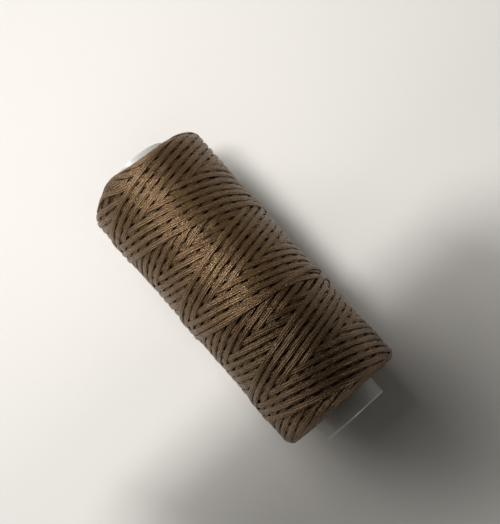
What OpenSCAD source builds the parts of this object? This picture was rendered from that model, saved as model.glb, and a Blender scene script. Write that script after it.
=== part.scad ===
// Spool of flat waxed thread: a plain plastic tube that carries a cross-wound
// package with rounded shoulders and no flanges, lying on its side.
// X runs along the tube, Z is up, and the turns rest on z = 0.
// The origin is under the middle of the tube.

/* [Tube] */
// Outer diameter of the tube
tube_d = 12.5; // [9:0.1:14]
// Wall of the tube
tube_wall = 0.9; // [0.6:0.1:1.5]
// Length of the tube
tube_length = 58.4; // [58:0.1:64]
// Chamfer on each edge of the tube's rims
rim_chamfer = 0.15; // [0.05:0.05:0.25]

/* [Package] */
// Length of the wound package
package_length = 53.2; // [50:0.1:54]
// Diameter over the outermost turns
package_d = 24.6; // [21:0.1:30]
// Bare tube at the +X end of the package
long_stub = 3.1; // [0.5:0.1:3.1]
// Radius of the package's shoulders
shoulder_r = 2; // [1.5:0.1:2.3]

/* [Thread] */
// Width of the flat thread
thread_w = 1.1; // [0.8:0.05:1.1]
// Thickness of the flat thread
thread_t = 0.45; // [0.35:0.05:0.6]
// Radial room between a turn and the turn that crosses it
crossing_gap = 0.5; // [0.5:0.05:0.7]

/* [Outer turns] */
// Strokes that the outermost turns make along the package
strokes = 8; // [4:2:8]
// Steps of 15 degrees that the package turns through in one stroke
stroke_steps = 69; // [63, 69]

/* [Hidden] */

step = 15;                                         // angle between two rings of the thread
turn_rings = 360 / step;
package_r = package_d / 2;
package_x = tube_length / 2 - long_stub - package_length / 2; // middle of the package
flat_trim = thread_t / 10;                         // cut off the turns' lowest sides
axis_z = package_r * cos(step / 2) - flat_trim;    // the turns rest on their flat sides

upper_r = package_r - thread_t / 2;                // turns of the strokes towards -X
lower_r = upper_r - thread_t - crossing_gap;       // turns of the strokes towards +X
core_r = (lower_r - thread_t / 2) * cos(step / 2) - 0.01; // just inside the lower turns
core_corner = 0.9;                                 // rounded edge of the inner windings

turn_x = package_length / 2 - 1;                   // where a stroke turns back
turn_steps = 2;                                    // steps that rounding off the turn takes
advance = 2 * turn_x / (stroke_steps - turn_steps); // travel along X in one step
tucked_steps = 7.5;                                // what the last stroke lacks to its turn
last_step = strokes * stroke_steps - tucked_steps;
flat_share = 0.6;                                  // flat part of the thread's width

thread_color = [0.38, 0.30, 0.23];
inner_color = [0.26, 0.20, 0.15];
tube_color = [0.86, 0.87, 0.85];

// Plain tube, open right through, with its rim edges broken
module core_tube() {
    inner = tube_d / 2 - tube_wall;
    outer = tube_d / 2;
    h = tube_length / 2;
    c = rim_chamfer;
    color(tube_color)
    translate([0, 0, axis_z])
    rotate([0, 90, 0])
    rotate_extrude($fn = 96)
    polygon([
        [inner, c - h], [inner + c, -h], [outer - c, -h], [outer, c - h],
        [outer, h - c], [outer - c, h], [inner + c, h], [inner, h - c]
    ]);
}

// All the turns below the outermost ones, as one body with rounded edges
module inner_windings() {
    h = package_length / 2;
    c = core_corner;
    color(inner_color)
    translate([package_x, 0, axis_z])
    rotate([0, 90, 0])
    rotate_extrude($fn = 96)
    polygon([
        [tube_d / 2, -h],
        for (a = [-90:15:0]) [core_r - c + c * cos(a), c - h + c * sin(a)],
        for (a = [0:15:90]) [core_r - c + c * cos(a), h - c + c * sin(a)],
        [tube_d / 2, h]
    ]);
}

// Steps from the nearest turn: negative before it and positive after it
function from_turn(k) = k - stroke_steps * round(k / stroke_steps);

// End where the nearest turn is, 1 for +X and -1 for -X
function turn_end(k) = round(k / stroke_steps) % 2 == 0 ? -1 : 1;

// Travel from a turn, in steps, rounded off where the stroke turns back
function travel(d) = d < turn_steps ? d * d / (2 * turn_steps) : d - turn_steps / 2;
function route_x(k) = turn_end(k) * (turn_x - advance * travel(abs(from_turn(k))));

// Share of the climb from the lower to the upper turns: up at +X, down again at -X
function climb(u) = (2 + u * (3 - u * u)) / 4;
function level(k) = climb(turn_end(k) * max(-1, min(1, from_turn(k) / turn_steps)));

// Fall of the shoulder below the largest diameter, and how far it leans outwards
function past_shoulder(x) = max(0, abs(x) - package_length / 2 + shoulder_r);
function shoulder_fall(x) = shoulder_r - sqrt(pow(shoulder_r, 2) - pow(past_shoulder(x), 2));
function shoulder_lean(x) = sign(x) * asin(past_shoulder(x) / shoulder_r);

function route_r(k) = lower_r + level(k) * (upper_r - lower_r - shoulder_fall(route_x(k)));

function angle_at(k) = step / 2 - 90 + step * k;
function outwards(k) = [0, cos(angle_at(k)), sin(angle_at(k))];
function place(k, r) = [route_x(k), 0, 0] + r * outwards(k);
function normal(k) =
    let (lean = level(k) * shoulder_lean(route_x(k)))
    [sin(lean), 0, 0] + cos(lean) * outwards(k);

function unit(v) = v / norm(v);
function forwards(k) = unit(place(k + 0.5, route_r(k + 0.5)) - place(k - 0.5, route_r(k - 0.5)));
function across(k) = unit(cross(normal(k), forwards(k)));

// Nothing reaches below the ground
function grounded(p) = [p[0], p[1], max(p[2], -axis_z)];

// The thread's six corners round a point, with its flat sides facing along out
corners = [[1, 0], [flat_share, 1], [-flat_share, 1], [-1, 0], [-flat_share, -1], [flat_share, -1]];
function ring(p, side, out) = [
    for (c = corners) grounded(p + c[0] * thread_w / 2 * side + c[1] * thread_t / 2 * out)
];

// Both ends stand square on the inner windings, straight for a thread's width, and
// bend over into the turns; way is 1 at the first end and -1 at the last
function bend_r(k) = max(route_r(k), core_r + thread_w);
function lengthwise(k) = cross(across(k), outwards(k));
function foot(k, way) = ring(place(k, core_r), across(k), -way * lengthwise(k));
function bend(k, way) =
    ring(place(k, bend_r(k)), across(k), outwards(k) - way * lengthwise(k));

thread_rings = [
    foot(0, 1),
    bend(0, 1),
    for (k = [1:floor(last_step)]) ring(place(k, route_r(k)), across(k), normal(k)),
    bend(last_step, -1),
    foot(last_step, -1)
];

// One unbroken tube through all the rings
module swept_thread(rings) {
    n = len(corners);
    last = (len(rings) - 1) * n;
    polyhedron(
        points = [for (r = rings) each r],
        faces = [
            for (i = [1:n - 2]) [0, i + 1, i],
            for (i = [1:n - 2]) [last, last + i, last + i + 1],
            for (r = [0:len(rings) - 2], i = [0:n - 1])
                let (a = r * n + i, b = r * n + (i + 1) % n)
                each [[a, b, a + n], [b, b + n, a + n]]
        ]
    );
}

// The outermost turns: strokes that cross-wind to and fro at the real thread's size
module outer_turns() {
    color(thread_color)
    translate([package_x, 0, axis_z])
    swept_thread(thread_rings);
}

// Nearest points of two stretches, p to p + u and q to q + v
function clamped(t) = max(0, min(1, t));
function nearest(p, u, q, v) =
    let (
        w = p - q,
        spread = (u * u) * (v * v) - pow(u * v, 2),
        s = spread < 1e-9 ? 0 : clamped(((u * v) * (v * w) - (v * v) * (u * w)) / spread),
        t = clamped(((u * v) * s + v * w) / (v * v)),
        s2 = clamped(((u * v) * t - u * w) / (u * u))
    )
    [p + s2 * u, q + t * v];

// Reach of the thread's section from its middle line, in direction d at point p
function reach(p, d) =
    let (up = abs(d * unit([0, p[1], p[2]])), flat = sqrt(max(0, 1 - up * up)))
    max(thread_w / 2 * flat, flat_share * thread_w / 2 * flat + thread_t / 2 * up);

function gap(a, b) = let (d = unit(b - a)) norm(b - a) - reach(a, d) - reach(b, d);

// Least gap between stretches of the thread that are a quarter turn or more apart
middle_line = [for (k = [0:floor(last_step)]) place(k, route_r(k))];
function least_gap(line, near = 3, apart = turn_rings / 4) = min([
    for (i = [0:len(line) - 2 - apart], j = [i + apart:len(line) - 2])
        if (abs(line[i][0] - line[j][0]) < near && norm(line[i] - line[j]) < 2 * near)
            let (ends = nearest(line[i], line[i + 1] - line[i], line[j], line[j + 1] - line[j]))
            gap(ends[0], ends[1])
]);

union() {  // outer_turns
    echo(turns = last_step / turn_rings);
    echo(least_gap_mm = least_gap(middle_line));
}

core_tube();
inner_windings();
outer_turns();
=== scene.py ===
"""Spool of flat waxed thread: a frosted plastic tube with a cross-wound package.

X runs along the tube, Z is up and the turns rest on z = 0. Lengths are in metres.
"""

import math

import bmesh
import bpy
import numpy as np
from bpy.props import FloatProperty, FloatVectorProperty, IntProperty, PointerProperty
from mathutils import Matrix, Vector


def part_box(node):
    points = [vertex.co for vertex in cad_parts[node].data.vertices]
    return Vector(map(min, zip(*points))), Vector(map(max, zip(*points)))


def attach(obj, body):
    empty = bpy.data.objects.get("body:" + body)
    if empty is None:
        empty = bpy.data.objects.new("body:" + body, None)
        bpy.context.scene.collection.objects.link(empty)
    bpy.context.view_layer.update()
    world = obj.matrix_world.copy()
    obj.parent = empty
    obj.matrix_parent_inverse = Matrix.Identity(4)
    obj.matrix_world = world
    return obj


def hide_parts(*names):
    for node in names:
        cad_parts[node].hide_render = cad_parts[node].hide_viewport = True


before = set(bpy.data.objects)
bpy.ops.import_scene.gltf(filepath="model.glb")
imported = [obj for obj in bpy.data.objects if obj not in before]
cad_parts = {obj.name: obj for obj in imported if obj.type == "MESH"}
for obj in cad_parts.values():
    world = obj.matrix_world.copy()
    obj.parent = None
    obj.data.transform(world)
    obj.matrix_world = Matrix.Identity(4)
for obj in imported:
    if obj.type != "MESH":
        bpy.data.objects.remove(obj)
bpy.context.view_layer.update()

bl_info = {
    "name": "Waxed Thread Spool",
    "version": (1, 0, 0),
    "blender": (4, 5, 0),
    "location": "3D View > Sidebar > Thread Spool",
    "description": "Cross-wound spool of flat waxed thread on a plastic tube",
    "category": "Add Mesh",
}

MM = 0.001
TURN = 2 * math.pi
LAY = "lay"     # attribute: along, across and through the thread, in millimetres

# Sizes that the packed model settles
tube_low, tube_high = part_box("core_tube")
core_low, core_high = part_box("inner_windings")
turns_low, turns_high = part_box("outer_turns")
AXIS_Z = (tube_low.z + tube_high.z) / 2
TUBE_R = (tube_high.z - tube_low.z) / 2
TUBE_END = tube_high.x
PACKAGE_X = (core_low.x + core_high.x) / 2
HALF_LENGTH = (core_high.x - core_low.x) / 2
PACKAGE_R = (turns_high.y - turns_low.y) / 2
MIDDLE = np.array([PACKAGE_X, 0, AXIS_Z])

# Seeds of the turns' small irregularities
OUTER_SEED = 7
END_SEED = 21

# Share of a deep turn's sinking that also draws it inwards at an end of the package
STACKING = 0.5

# How far the newest stroke strays over its neighbours, and how long after it begins
STRAY = 3.6 * MM
STRAY_ANGLE = math.radians(327)
STRAY_SPREAD = math.radians(75)

# Where turns have slipped at the -X end: the side, the length over which that sets in,
# and how far they went round the shoulder and straight outwards
SLIP_ANGLE = math.radians(28)
SLIP_SPREAD = math.radians(22)
SLIP_LENGTH = 2 * MM
SLIP_ROUND = 1.2 * MM
SLIP_OUT = 1.1 * MM

# Stage, in millimetres: each lamp's middle and width, the sheets and the camera
LAMPS = {
    "window": ((-1280, -620, 500), 840),
    "softbox": ((-1180, -150, 1360), 1000),
    "accent": ((-100, -52, 270), 80),
    "fill": ((400, 30, 20), 70),
}
FLOOR_SIDES = (3000, 3000)
FLAG_PLACE = (-2, -10, 75)
FLAG_SIDES = (74, 74)
CAMERA_PLACE = (27.5, 5.9, 209.1)       # with the height counted from the tube's axis
CAMERA_TURN = (5.82, 5.88, 48.67)       # degrees about X, Y and Z
FOCAL_LENGTH = 83.07
SENSOR_WIDTH = 36

# Heights between which the room's wall fades out, 1 being straight up
WALL_FADE = (0.06, 0.2)


class ThreadSettings(bpy.types.PropertyGroup):
    """Flat waxed thread"""

    width: FloatProperty(
        name="Width", description="Width of the flat thread",
        default=1.10 * MM, precision=5, unit="LENGTH", subtype="DISTANCE",
    )
    thickness: FloatProperty(
        name="Thickness", description="Thickness of the flat thread",
        default=0.45 * MM, precision=5, unit="LENGTH", subtype="DISTANCE",
    )
    crossing_rings: IntProperty(
        name="Crossing Rings", description="Rings of the mesh from one crossing to the next",
        default=4, min=2,
    )
    corners: IntProperty(
        name="Corners", description="Corners of the thread's cross-section", default=12, min=6,
    )
    # painted shade: near-black colour painted between the filaments, in the grain's pits and
    # along the thread's edges
    painted_shade_color: FloatVectorProperty(
        name="Deep Colour", description="Colour between the filaments",
        default=(0.01, 0.005, 0.0016), size=3, subtype="COLOR",
    )
    body_color: FloatVectorProperty(
        name="Thread Colour", description="Main colour of the thread",
        default=(0.068, 0.0375, 0.0095), size=3, subtype="COLOR",
    )
    worn_color: FloatVectorProperty(
        name="Pale Colour", description="Colour where the wax is thick",
        default=(0.078, 0.037, 0.0185), size=3, subtype="COLOR",
    )
    roughness: FloatProperty(
        name="Roughness", description="Roughness of the waxed filaments",
        default=0.22, min=0, max=1, subtype="FACTOR",
    )


class WindingSettings(bpy.types.PropertyGroup):
    """How the thread is wound"""

    rise: FloatProperty(
        name="Rise", description="Height of the newest turns over the packed model's turns",
        default=0.05 * MM, precision=5, unit="LENGTH", subtype="DISTANCE",
    )
    waist: FloatProperty(
        name="Waist", description="How much slimmer the package is between its swollen ends",
        default=0.16 * MM, precision=5, unit="LENGTH", subtype="DISTANCE",
    )
    layer_step: FloatProperty(
        name="Layer Step", description="Distance between two turns that cross each other",
        default=0.22 * MM, precision=5, unit="LENGTH", subtype="DISTANCE",
    )
    lead: FloatProperty(
        name="Lead", description="Travel along the package in one turn",
        default=18.1 * MM, precision=5, unit="LENGTH", subtype="DISTANCE",
    )
    turns: IntProperty(
        name="Turns", description="Whole turns in one stroke along the package", default=3, min=1,
    )
    pairs: IntProperty(
        name="Stroke Pairs", description="Strokes out and back that make one full layer",
        default=13, min=2,
    )
    far_turn: FloatProperty(
        name="Far Turn", description="Where the strokes' straight lines meet at the +X end",
        default=27.0 * MM, precision=5, unit="LENGTH", subtype="DISTANCE",
    )
    last_turn_angle: FloatProperty(
        name="Last Turn", description="Angle from the top at which the last stroke begins",
        default=math.radians(-61.7), subtype="ANGLE",
    )
    far_rounding: FloatProperty(
        name="Far Rounding", description="Angle over which a stroke turns back at the +X end",
        default=math.radians(20), subtype="ANGLE",
    )
    near_rounding: FloatProperty(
        name="Near Rounding", description="Angle over which a stroke turns back at the -X end",
        default=math.radians(44), subtype="ANGLE",
    )
    shoulder: FloatProperty(
        name="Shoulder", description="Radius of the package's rounded shoulders",
        default=2.06 * MM, precision=5, unit="LENGTH", subtype="DISTANCE",
    )
    press: FloatProperty(
        name="Press", description="How much wider a turn is where it is pressed on another",
        default=0.03, min=0, max=0.2, subtype="FACTOR",
    )
    looseness: FloatProperty(
        name="Looseness", description="How far a turn wanders sideways",
        default=0.11 * MM, precision=5, unit="LENGTH", subtype="DISTANCE",
    )


class TubeSettings(bpy.types.PropertyGroup):
    """Plastic tube"""

    color: FloatVectorProperty(
        name="Tube Colour", description="Tint of the clear plastic",
        default=(0.78, 0.76, 0.7), size=3, subtype="COLOR",
    )
    # painted highlight: the rims near both ends are paler, as where they catch the light, over
    # the slightly paler frosted cut
    rim_color: FloatVectorProperty(
        name="Rim Colour", description="Paler colour of the cut rims",
        default=(0.95, 0.94, 0.9), size=3, subtype="COLOR",
    )
    roughness: FloatProperty(
        name="Frost", description="How frosted the tube's surface is",
        default=0.28, min=0, max=1, subtype="FACTOR",
    )


class StageSettings(bpy.types.PropertyGroup):
    """Floor, lamps and camera"""

    floor_color: FloatVectorProperty(
        name="Floor Colour", description="Colour of the paper under the spool",
        default=(0.86, 0.83, 0.78), size=3, subtype="COLOR",
    )
    window_power: FloatProperty(
        name="Window Power", description="Power of the large low lamp beyond the -X end",
        default=7.8, min=0, unit="POWER",
    )
    softbox_power: FloatProperty(
        name="Softbox Power", description="Power of the large lamp high over the -X end",
        default=13.0, min=0, unit="POWER",
    )
    accent_power: FloatProperty(
        name="Accent Power", description="Power of the small lamp that makes the wax shine",
        default=0.47, min=0, unit="POWER",
    )
    fill_power: FloatProperty(
        name="Fill Power", description="Power of the weak lamp that faces the +X end",
        default=0.14, min=0, unit="POWER",
    )
    room_light: FloatProperty(
        name="Room Light", description="Strength of the light from all around",
        default=0.06, min=0, subtype="FACTOR",
    )
    wall_light: FloatProperty(
        name="Wall", description="How pale the room's wall looks beyond the floor",
        default=0.5, min=0, subtype="FACTOR",
    )


# ---------------------------------------------------------------- shader building


class Socket:
    """A shader value that takes part in arithmetic, which adds the Math nodes."""

    def __init__(self, shader, socket):
        self.shader = shader
        self.socket = socket

    def _math(self, operation, *values):
        return self.shader.node("Math", {"operation": operation}, dict(enumerate(values)))

    def __add__(self, other):
        return self._math("ADD", self, other)

    def __rsub__(self, other):
        return self._math("SUBTRACT", other, self)

    def __mul__(self, other):
        return self._math("MULTIPLY", self, other)

    __radd__ = __add__
    __rmul__ = __mul__

    def cosine(self):
        return self._math("COSINE", self)

    def between(self, low, high):
        """0 up to low and 1 from high on, with a smooth step between them"""
        settings = {"interpolation_type": "SMOOTHSTEP"}
        return self.shader.node("MapRange", settings, {0: self, 1: low, 2: high})


class Nodes:
    """A material's or a world's own nodes."""

    def __init__(self, owner):
        owner.use_nodes = True
        self.tree = owner.node_tree
        self.tree.nodes.clear()

    def node(self, kind, settings=None, inputs=None, output=0):
        """Adds a node of this kind, its settings first, and gives one of its outputs"""
        made = self.tree.nodes.new("ShaderNode" + kind)
        for name, value in (settings or {}).items():
            setattr(made, name, value)
        for key, value in (inputs or {}).items():
            self.feed(made.inputs[key], value)
        return Socket(self, made.outputs[output]) if made.outputs else None

    def feed(self, target, value):
        """Links a shader value to a socket, or sets the socket's own value"""
        if isinstance(value, Socket):
            self.tree.links.new(value.socket, target)
        elif hasattr(value, "__len__") and target.type == "RGBA":
            target.default_value = (*value, 1)
        else:
            target.default_value = value


class Shader(Nodes):
    """A node material with one Principled BSDF."""

    def __init__(self, name):
        self.material = bpy.data.materials.new(name)
        super().__init__(self.material)
        self.surface = self.tree.nodes.new("ShaderNodeBsdfPrincipled")
        output = self.tree.nodes.new("ShaderNodeOutputMaterial")
        self.tree.links.new(self.surface.outputs[0], output.inputs["Surface"])

    def mix(self, factor, first, second):
        """The first colour where factor is 0 and the second where it is 1"""
        return self.node("Mix", {"data_type": "RGBA"}, {0: factor, 6: first, 7: second}, output=2)

    def stretched(self, vector, scale):
        """The same coordinates, stretched apart by a scale along each axis"""
        return self.node("VectorMath", {"operation": "MULTIPLY"}, {0: vector, 1: scale})

    def noise(self, vector, scale=1.0, detail=2.0, roughness=0.5):
        inputs = {"Vector": vector, "Scale": scale, "Detail": detail, "Roughness": roughness}
        return self.node("TexNoise", {}, inputs)

    def finish(self, sockets):
        """Fills the Principled BSDF's sockets"""
        for name, value in sockets.items():
            self.feed(self.surface.inputs[name], value)
        return self.material


def thread_material(name, thread, shade=1.0):
    """Waxed filaments: lengthwise bundles, speckled sheen and slow changes of colour, with
    painted shade between the bundles, in the grain's pits and along the edges, and over the whole
    thread where shade is below 1
    """
    shader = Shader(name)
    lay = shader.node("Attribute", {"attribute_name": LAY}, {}, output=1)
    along = shader.node("SeparateXYZ", {}, {0: lay}, output=0)
    across = shader.node("SeparateXYZ", {}, {0: lay}, output=1)

    bundle_width, twist_length = 0.37, 7        # in millimetres, as the coordinates are
    twist = across * (TURN / bundle_width) + along * (TURN / twist_length)
    bundles = twist.cosine() * 0.5 + 0.5
    # each scale is along, across and through the thread
    filaments = shader.noise(shader.stretched(lay, (0.5, 11, 11)), detail=3)
    grain = shader.noise(shader.stretched(lay, (1.1, 5, 5)), detail=3, roughness=0.65)
    patches = shader.noise(shader.stretched(lay, (0.12, 0.3, 0.3)), detail=1)

    # painted shade along both edges of the thread, where its rounded sides turn away from the
    # light
    edge = (across * across * (2 * MM / thread.width) ** 2).between(0.35, 1)

    body = shader.mix(patches.between(0.4, 0.6), thread.body_color, thread.worn_color)
    # painted shade: darker between the bundles, in the grain's pits and along both edges
    deep = (1 - bundles) * 0.4 + (1 - grain.between(0.34, 0.6)) * 0.6 + edge * 0.65
    color = shader.mix(deep, body, thread.painted_shade_color)
    # painted shade: a shade below 1 darkens the whole copy towards black, for turns that lie in
    # shade
    if shade < 1:
        color = shader.mix(1 - shade, color, (0, 0, 0))

    height = bundles * 0.5 + filaments * 0.6 + grain * 0.8
    bump = shader.node("Bump", {}, {"Strength": 1.0, "Distance": 0.18 * MM, "Height": height})
    return shader.finish({
        "Base Color": color,
        "Roughness": thread.roughness + 0.3 * (1 - grain.between(0.35, 0.65)),
        "Normal": bump,
        "IOR": 1.7,
        "Specular IOR Level": 1.0,
        "Specular Tint": (1.0, 0.66, 0.38),
    })


def tube_material(tube):
    """Clear plastic, lightly frosted, with the faint flow lines of an extruded tube and rims
    painted paler as a highlight
    """
    shader = Shader("frosted_plastic")
    place = shader.node("TexCoord", {}, {}, output=3)
    flow = shader.noise(shader.stretched(place, (60, 900, 900)), detail=3)
    grain = shader.noise(place, scale=2500, detail=2)
    along = shader.node("SeparateXYZ", {}, {0: place}, output=0)
    # painted highlight: paler near both ends of the tube, where the rims catch the light, partly
    # the paler frosted cut
    rim_highlight = (along * along).between((TUBE_END - 0.6 * MM) ** 2, (TUBE_END - 0.1 * MM) ** 2)
    color = shader.mix(flow, tube.color, [0.94 * c for c in tube.color])
    height = flow * 0.6 + grain * 0.4
    bump = shader.node("Bump", {}, {"Strength": 0.25, "Distance": 0.05 * MM, "Height": height})
    return shader.finish({
        "Base Color": shader.mix(rim_highlight, color, tube.rim_color),
        "Roughness": tube.roughness + 0.12 * flow,
        "Normal": bump,
        "IOR": 1.49,
        "Transmission Weight": 0.35,
    })


def paper_material(color):
    """Pale matt paper with a barely visible tooth"""
    shader = Shader("pale_paper")
    place = shader.node("TexCoord", {}, {}, output=3)
    tooth = shader.noise(place, scale=900, detail=3)
    clouds = shader.noise(place, scale=25, detail=1)
    return shader.finish({
        "Base Color": shader.mix(clouds * 0.5 + tooth * 0.2, color, [0.96 * c for c in color]),
        "Roughness": 0.85,
    })


# ---------------------------------------------------------------- the winding's route


def smooth(x):
    """Smooth step from 0 at 0 to 1 at 1"""
    x = np.clip(x, 0, 1)
    return x * x * (3 - 2 * x)


def wander(rng, along, reach):
    """Smooth random curve between -1 and 1 that changes every reach along the thread"""
    steps = (along - along[0]) / reach
    index = np.floor(steps).astype(int)
    knots = rng.uniform(-1, 1, index[-1] + 2)
    return knots[index] + (knots[index + 1] - knots[index]) * smooth(steps - index)


def rounded_off(away, rounding):
    """Angle gone since a stroke turned back, where the turn is rounded off"""
    return np.where(away < rounding, (away**2 / rounding + rounding) / 2, away)


def outwards(angle):
    """Direction away from the axis at an angle from the top"""
    return np.stack([np.zeros_like(angle), -np.sin(angle), np.cos(angle)], -1)


def leaning(out, lean):
    """The directions out, tilted towards +X"""
    normals = np.cos(lean)[..., None] * out
    normals[..., 0] += np.sin(lean)
    return normals


def outline(reach, offset, half_length, radius, shoulder):
    """Place along the axis, radius and lean at a distance along the package's outline.

    offset is how deep below the outline; the lean is the outward normal's tilt.
    """
    flat = half_length - shoulder
    lean = np.sign(reach) * np.clip((np.abs(reach) - flat) / shoulder, 0, math.pi / 2)
    level = np.clip(reach, -flat, flat)
    along_axis = level + (shoulder - STACKING * offset) * np.sin(lean)
    return along_axis, radius - shoulder * (1 - np.cos(lean)) - offset, lean


class Winding:
    """Route of the outermost turns; times are counted in strokes along the package.

    Even strokes run towards +X and odd ones back. The last stroke is the newest.
    """

    def __init__(self, thread, winding):
        self.thick = thread.thickness
        self.step = winding.layer_step
        self.lead = winding.lead
        self.rise = winding.rise
        self.shoulder = winding.shoulder
        self.waist = winding.waist
        self.pairs = winding.pairs
        self.strokes = 2 * winding.pairs
        self.stroke_angle = TURN * (winding.turns + 1 / self.strokes)
        self.crossings = self.strokes * winding.turns + 1
        self.far_turn = winding.far_turn
        self.near_turn = winding.far_turn - self.lead * self.stroke_angle / TURN
        self.last_turn_angle = winding.last_turn_angle
        self.far_rounding = winding.far_rounding
        self.near_rounding = winding.near_rounding

    def angle(self, times):
        """Angle from the top, growing towards -Y"""
        return self.last_turn_angle + self.stroke_angle * (times - (self.strokes - 1))

    def reach(self, times):
        """Distance along the outline, rounded off where a stroke turns back"""
        turn = np.round(times)
        far = turn % 2 == 1
        away = np.abs(times - turn) * self.stroke_angle
        rounding = np.where(far, self.far_rounding, self.near_rounding)
        end = np.where(far, self.far_turn, self.near_turn)
        return end - np.where(far, 1, -1) * self.lead / TURN * rounded_off(away, rounding)

    def depth(self, times):
        """How deep the thread's middle lies below the newest turns' surface.

        A turn climbs by its thickness over the turns that it crosses in half a
        revolution, then dives below the newer ones that were laid across it.
        """
        stroke = np.floor(times)
        crossed = (times - stroke) * self.crossings
        since = crossed % self.pairs
        dive = smooth(since)
        dive = np.where(crossed < 1, smooth(crossed + 0.5), dive)
        left = self.crossings - crossed
        dive = np.where(left < 1, smooth(0.5 - left), dive)
        newer = self.strokes - 1 - stroke
        return self.thick / 2 + self.step * ((newer - since) / self.pairs + dive)

    def pressed(self, times):
        """1 where a turn crosses another and -1 halfway between two crossings"""
        return np.cos(TURN * self.crossings * times)

    def surface_depth(self, axial, angle):
        """Depth of the package's surface, from the ages of both crossing sets of turns"""
        slope = self.lead / TURN
        pitch = self.lead / self.pairs
        newest_out = self.far_turn - slope * self.last_turn_angle
        newest_back = self.far_turn + slope * self.last_turn_angle
        ages = (
            (axial - slope * angle - newest_out) / pitch,
            (newest_back - axial - slope * angle) / pitch,
        )
        total = 0
        for age in ages:
            ring = (age - 0.5) % self.pairs + 0.5
            total = total + ring / self.pairs - smooth(ring - self.pairs + 0.5)
        return self.step * total

    def sink(self, axial):
        """How much slimmer the package is here than at its swollen ends"""
        slim, swelling = 12 * MM, 10 * MM
        return self.waist * (1 - smooth((np.abs(axial) - slim) / swelling))

    def slip_side(self, angle):
        """1 at the side where the turns have slipped outwards and 0 away from it"""
        away = (angle + math.pi - SLIP_ANGLE) % TURN - math.pi
        return np.exp(-((away / SLIP_SPREAD) ** 2))

    def slip(self, angle, axial, start):
        """1 where turns have slipped: at that side, and only past a start towards -X"""
        return self.slip_side(angle) * smooth((-axial - start) / SLIP_LENGTH)

    def stray(self, times, angle):
        """1 where the newest stroke strays furthest over its neighbours"""
        since_turn = angle - self.angle(self.strokes - 1)
        stray = np.exp(-(((since_turn - STRAY_ANGLE) / STRAY_SPREAD) ** 2))
        return stray * (times > self.strokes - 1)

    def tuck(self, times):
        """Grows to 1 where each end of the thread dives below the turns"""
        start, end = 0.004, self.strokes + 0.01     # in strokes, as all times are
        return smooth((start - times) / 0.012) + smooth((times - end) / 0.03)

    def place(self, reach, depth, angle):
        """Points, and the directions that face outwards there"""
        depth = depth + self.sink(reach) - self.rise
        axial, radius, lean = outline(reach, depth, HALF_LENGTH, PACKAGE_R, self.shoulder)
        out = outwards(angle)
        points = MIDDLE + radius[..., None] * out
        points[..., 0] += axial
        return points, leaning(out, lean)


# ---------------------------------------------------------------- meshes


def section(corners):
    """Cross-section of the flat thread, with soft edges, from -1 to 1 both ways"""
    roundness = 0.85                # 1 makes an oval and 0 a rectangle
    turn = np.arange(corners) * TURN / corners
    side = np.sign(np.cos(turn)) * np.abs(np.cos(turn)) ** roundness
    up = np.sign(np.sin(turn)) * np.abs(np.sin(turn)) ** roundness
    return side, up


def unit(vectors):
    """The same directions at a length of 1"""
    return vectors / np.linalg.norm(vectors, axis=-1, keepdims=True)


def sweep(points, normals, wide, thick, roll, corners):
    """Rings of the thread round its middle line, and where each corner is in the thread"""
    forward = unit(np.gradient(points, axis=0))
    side = unit(np.cross(normals, forward))
    up = np.cross(forward, side)
    cos, sin = np.cos(roll)[:, None], np.sin(roll)[:, None]
    side, up = side * cos + up * sin, up * cos - side * sin
    across, through = section(corners)
    across = wide[:, None] / 2 * across
    through = thick[:, None] / 2 * through
    rings = points[:, None] + across[..., None] * side[:, None] + through[..., None] * up[:, None]
    rings[..., 2] = np.maximum(rings[..., 2], 0)
    steps = np.linalg.norm(np.diff(points, axis=0), axis=-1)
    along = np.concatenate([[0], np.cumsum(steps)])
    lay = np.stack([along[:, None] + 0 * across, across, through], -1) / MM
    return rings, lay


def add_tube(mesh, rings, lay):
    """Adds a closed tube through the rings to a bmesh"""
    layer = mesh.verts.layers.float_vector[LAY]
    count, corners = rings.shape[:2]
    grid = bmesh.ops.create_grid(mesh, x_segments=count - 1, y_segments=corners, size=0.5)
    verts = grid["verts"]
    spots = np.array([vert.co for vert in verts]) + 0.5
    ring_of = np.round(spots[:, 0] * (count - 1)).astype(int)
    corner_of = np.round(spots[:, 1] * corners).astype(int)
    seam = {}
    first = {}
    for vert, ring, corner in zip(verts, ring_of, corner_of):
        vert.co = rings[ring, corner % corners]
        vert[layer] = lay[ring, corner % corners]
        if corner == 0:
            first[ring] = vert
        elif corner == corners:
            seam[ring] = vert
    bmesh.ops.weld_verts(mesh, targetmap={seam[ring]: first[ring] for ring in seam})


def finish_mesh(name, mesh, material, replaced):
    """Closes a bmesh, makes it a piece that rides with the spool and replaces a CAD node"""
    rims = [edge for edge in mesh.edges if edge.is_boundary]
    if rims:
        bmesh.ops.edgeloop_fill(mesh, edges=rims)
    bmesh.ops.recalc_face_normals(mesh, faces=mesh.faces)
    for face in mesh.faces:
        face.smooth = True
    data = bpy.data.meshes.new(name)
    mesh.to_mesh(data)
    mesh.free()
    data.materials.append(material)
    piece = bpy.data.objects.new(name, data)
    bpy.context.scene.collection.objects.link(piece)
    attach(piece, "root")
    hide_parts(replaced)
    return piece


def new_thread_mesh():
    """Empty bmesh whose corners will say where in the thread they are"""
    mesh = bmesh.new()
    mesh.verts.layers.float_vector.new(LAY)
    return mesh


# ---------------------------------------------------------------- operators


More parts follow.
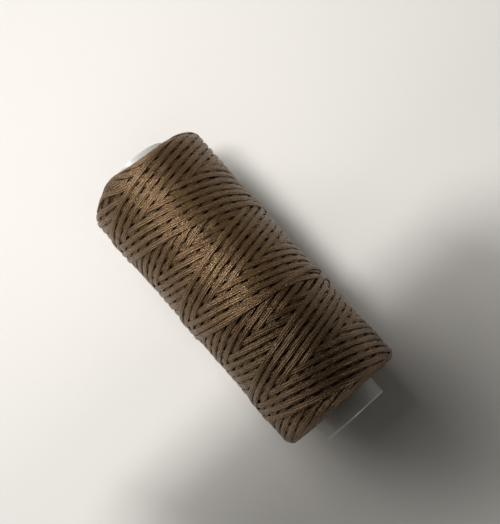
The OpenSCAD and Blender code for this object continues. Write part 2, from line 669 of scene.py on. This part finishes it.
class SPOOL_OT_outer_turns(bpy.types.Operator):
    """Winds the outermost turns as one unbroken thread"""

    bl_idname = "spool.outer_turns"
    bl_label = "Wind Outer Turns"

    def execute(self, context):
        thread, winding = context.scene.spool_thread, context.scene.spool_winding
        wound = Winding(thread, winding)
        rng = np.random.default_rng(OUTER_SEED)
        per_stroke = wound.crossings * thread.crossing_rings
        before, after = 2, 12       # rings that the tucked ends take
        times = np.arange(-before, wound.strokes * per_stroke + after) / per_stroke
        along = times * wound.stroke_angle * PACKAGE_R
        press = wound.pressed(times)
        angle = wound.angle(times)

        swerve = 0.6 * wander(rng, along, 9 * MM) + 0.8 * wander(rng, along, 45 * MM)
        reach = wound.reach(times) + winding.looseness * swerve
        hump = 0.03 * MM            # over each turn that it crosses
        depth = wound.depth(times) - hump * press + 0.04 * MM * wander(rng, along, 6 * MM)
        stray = STRAY * wound.stray(times, angle)
        reach = reach - stray
        lift = 0.3 * wound.thick    # onto the neighbours where it strays
        depth = depth - lift * smooth(stray / thread.width)
        slip_start = 24.3 * MM
        slip = wound.slip(angle, reach, slip_start)
        reach = reach - SLIP_ROUND * slip
        tucked_depth = 2.2 * wound.thick
        depth = depth + tucked_depth * wound.tuck(times)

        points, normals = wound.place(reach, depth, angle)
        points[:, 0] -= SLIP_OUT * slip
        wide = thread.width * (1 + winding.press * press + 0.05 * wander(rng, along, 5 * MM))
        widening = 0.3              # of a slipped turn
        wide = wide * (1 + widening * slip)
        thick = thread.thickness * (1 - 0.07 * press + 0.08 * wander(rng, along, 4 * MM))
        roll = math.radians(6) * wander(rng, along, 7 * MM)
        mesh = new_thread_mesh()
        add_tube(mesh, *sweep(points, normals, wide, thick, roll, thread.corners))
        material = thread_material("waxed_thread", thread)
        finish_mesh("outer_turns_thread", mesh, material, "outer_turns")
        return {"FINISHED"}


class SPOOL_OT_inner_turns(bpy.types.Operator):
    """Makes the layers below the outermost turns, with the turns that show at both ends"""

    bl_idname = "spool.inner_turns"
    bl_label = "Wind Inner Turns"

    def execute(self, context):
        thread, winding = context.scene.spool_thread, context.scene.spool_winding
        wound = Winding(thread, winding)
        mesh = new_thread_mesh()
        self.add_body(mesh, wound)
        self.add_end_turns(mesh, thread, wound)
        # painted shade: the inner turns get a copy of the thread darkened to 0.7 of its colour
        material = thread_material("shaded_waxed_thread", thread, shade=0.7)
        finish_mesh("inner_turns", mesh, material, "inner_windings")
        return {"FINISHED"}

    def add_body(self, mesh, wound):
        """Solid ring whose outside follows the underside of the outermost turns"""
        around, lengthwise, steps = 180, 130, 8     # of the mesh, the last down each end
        recess = 0.7 * MM           # of its flat ends, behind the turns that show there
        corner = 1.2 * MM
        cover = 1.3 * wound.thick   # thickness of the turns that lie on it
        slip_start = 22.5 * MM
        slip_up, slip_out = 0.45 * MM, 1.25 * MM
        end = HALF_LENGTH - recess
        angle = np.linspace(0, TURN, around, endpoint=False)
        axial = np.linspace(-end, end, lengthwise)
        axial, angle = np.meshgrid(axial, angle, indexing="ij")
        depth = wound.surface_depth(axial, angle) + wound.step + cover
        depth = depth + wound.sink(axial) - wound.rise
        # the layers below have slipped with the turns over them
        depth = depth - slip_up * wound.slip(angle, axial, slip_start)
        _, radius, _ = outline(axial, depth, end, PACKAGE_R, corner)
        rows = [(axial, radius)]
        # flat ends down to the tube
        for share in range(1, steps + 1):
            level = radius[-1:] + (TUBE_R - radius[-1:]) * share / steps
            rows.append((axial[-1:], level))
        for share in range(steps + 1):
            level = TUBE_R + (radius[:1] - TUBE_R) * share / steps
            rows.append((axial[:1], level))
        axial = np.concatenate([row[0] for row in rows])
        radius = np.concatenate([row[1] for row in rows])
        angle = np.broadcast_to(angle[:1], axial.shape)
        rings = np.stack(
            [PACKAGE_X + axial, -radius * np.sin(angle), AXIS_Z + radius * np.cos(angle)], -1
        )
        rings[..., 2] = np.maximum(rings[..., 2], 0)
        rings[..., 0] -= slip_out * wound.slip(angle, axial, slip_start)
        lay = np.stack([radius * angle, axial, radius], -1) / MM
        add_tube(mesh, rings, lay)
        # the first and the last ring are the same one
        bmesh.ops.remove_doubles(mesh, verts=mesh.verts, dist=0.001 * MM)

    def add_end_turns(self, mesh, thread, wound):
        """Turns of the lower layers where they turn back at the package's flat ends"""
        rng = np.random.default_rng(END_SEED)
        layers = 5
        top = PACKAGE_R - 1.75 * MM     # just below the outermost turns
        layer = (top - TUBE_R) / layers
        for end in (-1, 1):
            for level in range(layers):
                first = rng.uniform(0, TURN)
                for turn in range(wound.pairs):
                    start = first + turn * TURN / wound.pairs
                    rings, lay = self.end_turn(rng, thread, wound, end, level, layer, start)
                    add_tube(mesh, rings, lay)

    def end_turn(self, rng, thread, wound, end, level, layer, start):
        """One turn of a level, which turns back at the angle start"""
        swing = math.radians(52)        # angle shown on both sides of where it turns back
        rounding = math.radians(34)
        ring_step = 0.9 * MM
        inset = 0.62 * thread.width     # of its middle line from the package's end
        radius = TUBE_R + (level + 1) * layer
        half_layer = 0.5 * layer
        away = np.linspace(-swing, swing, max(10, int(2 * swing * radius / ring_step)))
        along = away * radius
        slope = wound.lead / TURN
        reach = HALF_LENGTH - inset + slope * rounding / 2
        reach = reach - slope * rounded_off(np.abs(away), rounding)
        reach = reach + 0.09 * MM * rng.uniform(-1, 1)
        # it arrives over its neighbours and leaves below them
        crossed = away / (TURN / wound.strokes)
        sunk = half_layer * (0.5 + smooth(crossed + 0.5))
        radii = radius - sunk + 0.05 * MM * wander(rng, along, 4 * MM)
        out = outwards(start + away)
        points = MIDDLE + radii[:, None] * out
        points[:, 0] += end * reach
        # the deepest levels, next to the tube, haven't slipped
        if end < 0 and level >= 2:
            points[:, 0] -= SLIP_OUT * wound.slip_side(start + away)
        # the higher levels lean further over
        lean = np.full_like(away, end * math.radians(6 + 5 * level))
        roll = math.radians(8) * wander(rng, along, 6 * MM)
        wide = np.full_like(away, thread.width)
        thick = np.full_like(away, 1.25 * half_layer)
        rings, lay = sweep(points, leaning(out, lean), wide, thick, roll, corners=10)
        # each turn shows another stretch of the thread's grain
        lay[..., 0] += 1000 * rng.random()
        return rings, lay


class SPOOL_OT_core_tube(bpy.types.Operator):
    """Gives the tube its frosted plastic"""

    bl_idname = "spool.core_tube"
    bl_label = "Finish Core Tube"

    def execute(self, context):
        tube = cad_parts["core_tube"]
        material = tube_material(context.scene.spool_tube)
        if not tube.material_slots:
            tube.data.materials.append(material)
        tube.material_slots[0].material = material
        return {"FINISHED"}


class SPOOL_OT_stage(bpy.types.Operator):
    """Adds the paper floor, the lamps, the room light and the camera"""

    bl_idname = "spool.stage"
    bl_label = "Set Stage"

    def execute(self, context):
        stage = context.scene.spool_stage
        scene = context.scene
        paper = paper_material(stage.floor_color)
        self.add_sheet(scene, "floor", (0, 0, 0), FLOOR_SIDES, paper)
        # a flag keeps the softbox's light off the +X end and the floor beyond it
        flag = self.add_sheet(scene, "flag", FLAG_PLACE, FLAG_SIDES, paper)
        flag.rotation_euler.y = math.pi / 2
        flag.visible_camera = False
        for name, (place, size) in LAMPS.items():
            self.add_lamp(scene, name, place, size, getattr(stage, name + "_power"))
        scene.world = self.room(stage)
        scene.camera = self.add_camera(scene)
        scene.view_settings.view_transform = "Standard"
        return {"FINISHED"}

    def add_camera(self, scene):
        """Camera with a long lens, high over the spool"""
        lens = bpy.data.cameras.new("camera")
        lens.lens = FOCAL_LENGTH
        lens.sensor_width = SENSOR_WIDTH
        lens.clip_start = 10 * MM
        camera = bpy.data.objects.new("camera", lens)
        x, y, height = CAMERA_PLACE
        camera.location = (x * MM, y * MM, AXIS_Z + height * MM)
        camera.rotation_euler = [math.radians(a) for a in CAMERA_TURN]
        scene.collection.objects.link(camera)
        return camera

    def add_sheet(self, scene, name, place_mm, sides_mm, material):
        """Sheet that lies level, with its two sides along X and Y"""
        mesh = bmesh.new()
        bmesh.ops.create_grid(mesh, x_segments=1, y_segments=1, size=0.5)
        bmesh.ops.scale(mesh, verts=mesh.verts, vec=[a * MM for a in (*sides_mm, 0)])
        data = bpy.data.meshes.new(name)
        mesh.to_mesh(data)
        mesh.free()
        data.materials.append(material)
        sheet = bpy.data.objects.new(name, data)
        sheet.location = [a * MM for a in place_mm]
        scene.collection.objects.link(sheet)
        return sheet

    def room(self, stage):
        """World of a dim room, whose pale wall shows past the floor and lights nothing"""
        world = bpy.data.worlds.new("room")
        nodes = Nodes(world)
        seen = nodes.node("LightPath", output="Is Camera Ray")
        for ray in ("Is Glossy Ray", "Is Transmission Ray"):
            seen = seen + nodes.node("LightPath", output=ray)
        place = nodes.node("TexCoord", output="Generated")
        above_wall = nodes.node("SeparateXYZ", {}, {0: place}, output=2).between(*WALL_FADE)
        strength = seen.between(0, 1) * (1 - above_wall) * stage.wall_light + stage.room_light
        light = nodes.node("Background", {}, {"Color": (1.0, 0.98, 0.95), "Strength": strength})
        nodes.node("OutputWorld", {}, {"Surface": light})
        return world

    def add_lamp(self, scene, name, place_mm, size_mm, power):
        """Square lamp that faces the middle of the spool"""
        light = bpy.data.lights.new(name, "AREA")
        light.size = size_mm * MM
        light.energy = power
        lamp = bpy.data.objects.new(name, light)
        lamp.location = [a * MM for a in place_mm]
        aim = Vector((0, 0, AXIS_Z)) - lamp.location
        lamp.rotation_euler = aim.to_track_quat("-Z", "Y").to_euler()
        scene.collection.objects.link(lamp)


class SPOOL_PT_panel(bpy.types.Panel):
    """Lists the steps that make the spool and their settings"""

    bl_idname = "SPOOL_PT_panel"
    bl_label = "Thread Spool"
    bl_space_type = "VIEW_3D"
    bl_region_type = "UI"
    bl_category = "Thread Spool"

    def draw(self, context):
        for operator in OPERATORS:
            self.layout.operator(operator.bl_idname)
        for name, group in SETTINGS.items():
            box = self.layout.box()
            box.label(text=group.__doc__)
            for key in group.__annotations__:
                box.prop(getattr(context.scene, name), key)


SETTINGS = {
    "spool_thread": ThreadSettings,
    "spool_winding": WindingSettings,
    "spool_tube": TubeSettings,
    "spool_stage": StageSettings,
}
OPERATORS = (
    SPOOL_OT_stage, SPOOL_OT_core_tube, SPOOL_OT_inner_turns, SPOOL_OT_outer_turns,
)


def register():
    for group in SETTINGS.values():
        bpy.utils.register_class(group)
    for name, group in SETTINGS.items():
        setattr(bpy.types.Scene, name, PointerProperty(type=group))
    for operator in OPERATORS:
        bpy.utils.register_class(operator)
    bpy.utils.register_class(SPOOL_PT_panel)


def unregister():
    bpy.utils.unregister_class(SPOOL_PT_panel)
    for operator in reversed(OPERATORS):
        bpy.utils.unregister_class(operator)
    for name in SETTINGS:
        delattr(bpy.types.Scene, name)
    for group in reversed(SETTINGS.values()):
        bpy.utils.unregister_class(group)


def main():
    register()
    bpy.ops.spool.stage()
    bpy.ops.spool.core_tube()
    bpy.ops.spool.inner_turns()
    bpy.ops.spool.outer_turns()


if __name__ == "__main__":
    main()
